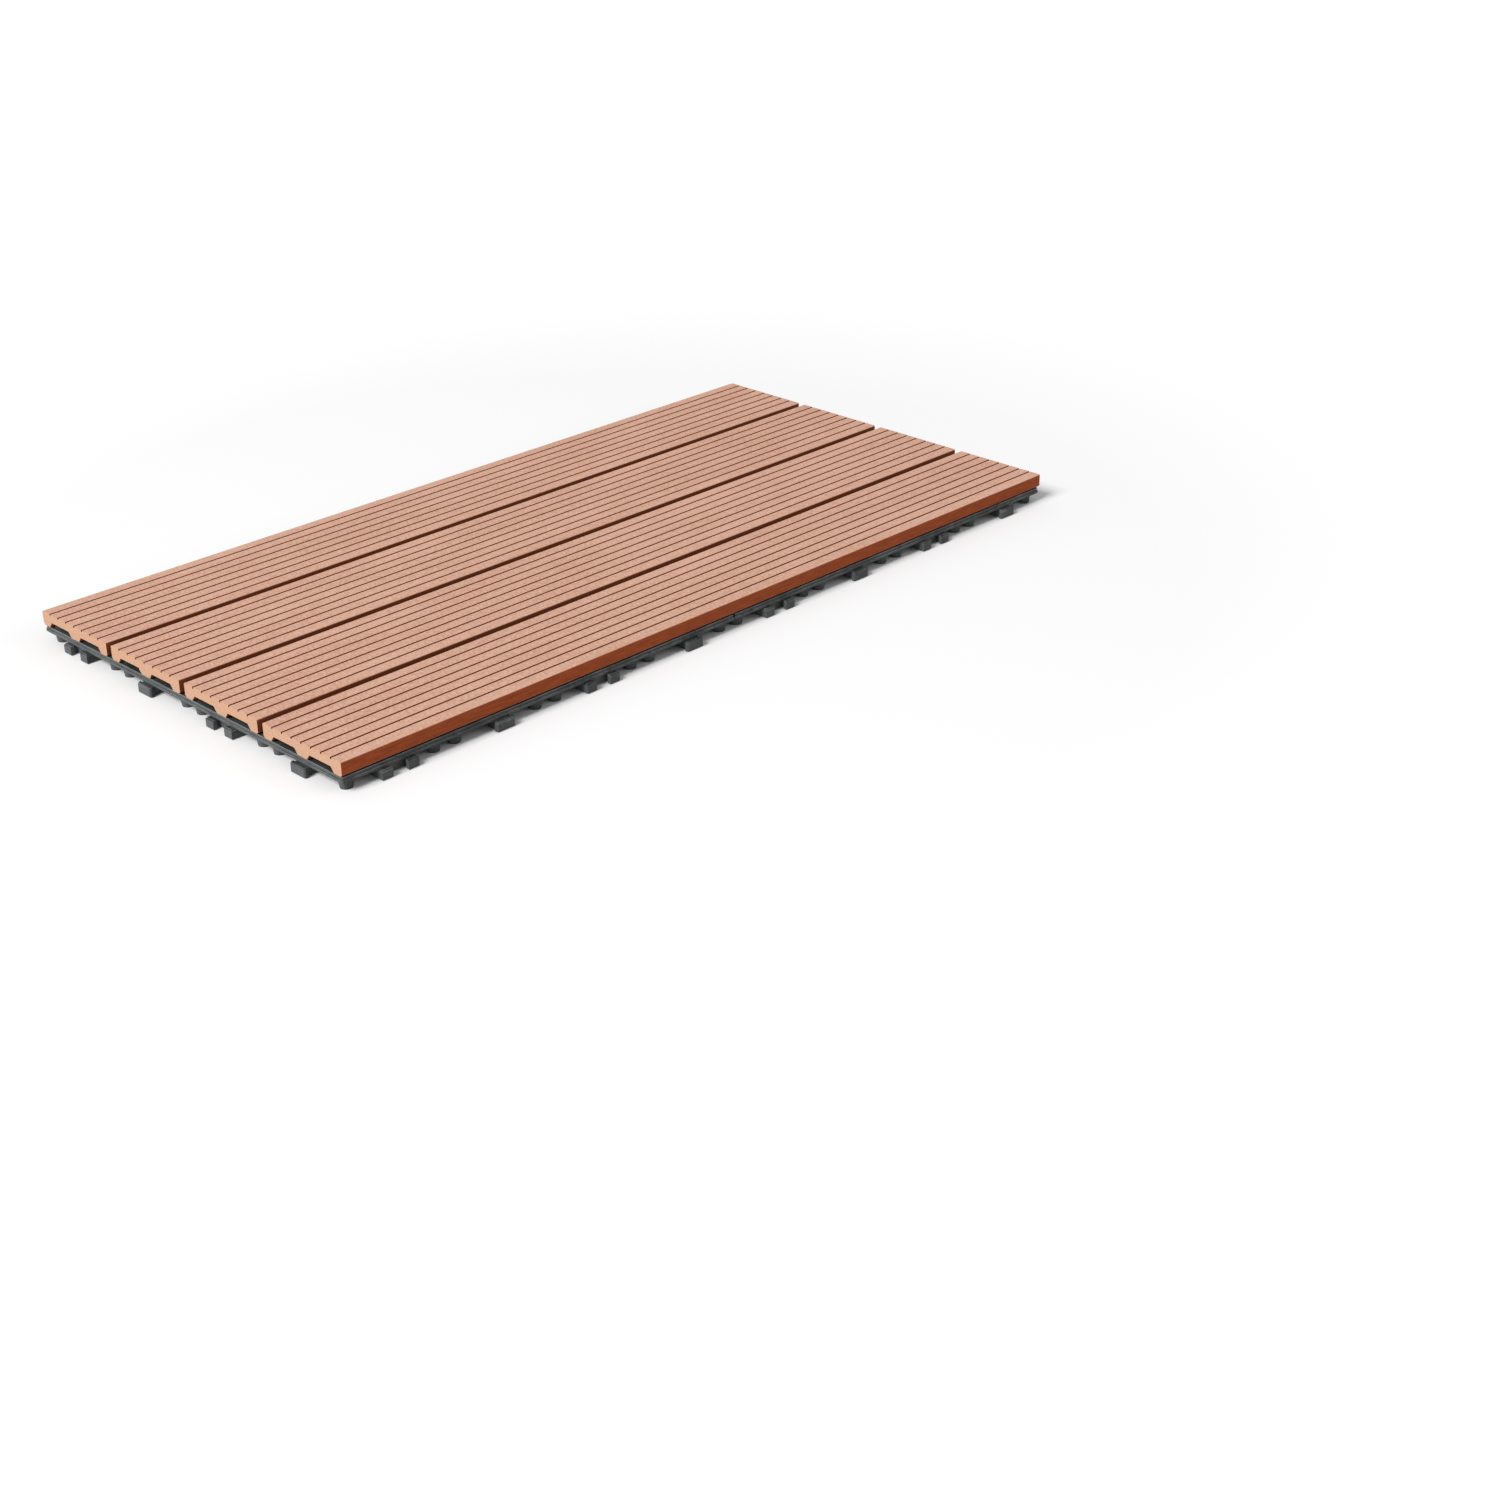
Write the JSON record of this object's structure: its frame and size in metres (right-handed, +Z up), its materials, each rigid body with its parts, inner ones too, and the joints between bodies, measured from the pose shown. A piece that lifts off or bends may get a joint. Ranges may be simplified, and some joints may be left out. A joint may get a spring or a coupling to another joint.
{
  "type": "interlocking deck tile",
  "caption": "Rectangular outdoor deck tile: grooved composite boards on square plastic lattice bases with feet, whose side tabs and sockets snap into the next tile.",
  "frame": {"origin": "centre of the tile's rectangle, on the ground plane that the feet stand on", "axes": "+X along the boards, +Y across them, +Z up from the feet to the grooved faces"},
  "size_m": [0.6058, 0.3058, 0.02],
  "materials": {
    "board": "matt extruded wood composite, brushed on top, red-brown on the sides, pale on the sawn ends",
    "base": "matt moulded charcoal plastic",
    "screw": "plain zinc-plated steel"
  },
  "bodies": {
    "root": {"board_front": "board", "board_front_middle": "board", "board_back_middle": "board", "board_back": "board", "base_left": "base", "base_right": "base", "screws": "screw"}
  },
  "joints": []
}
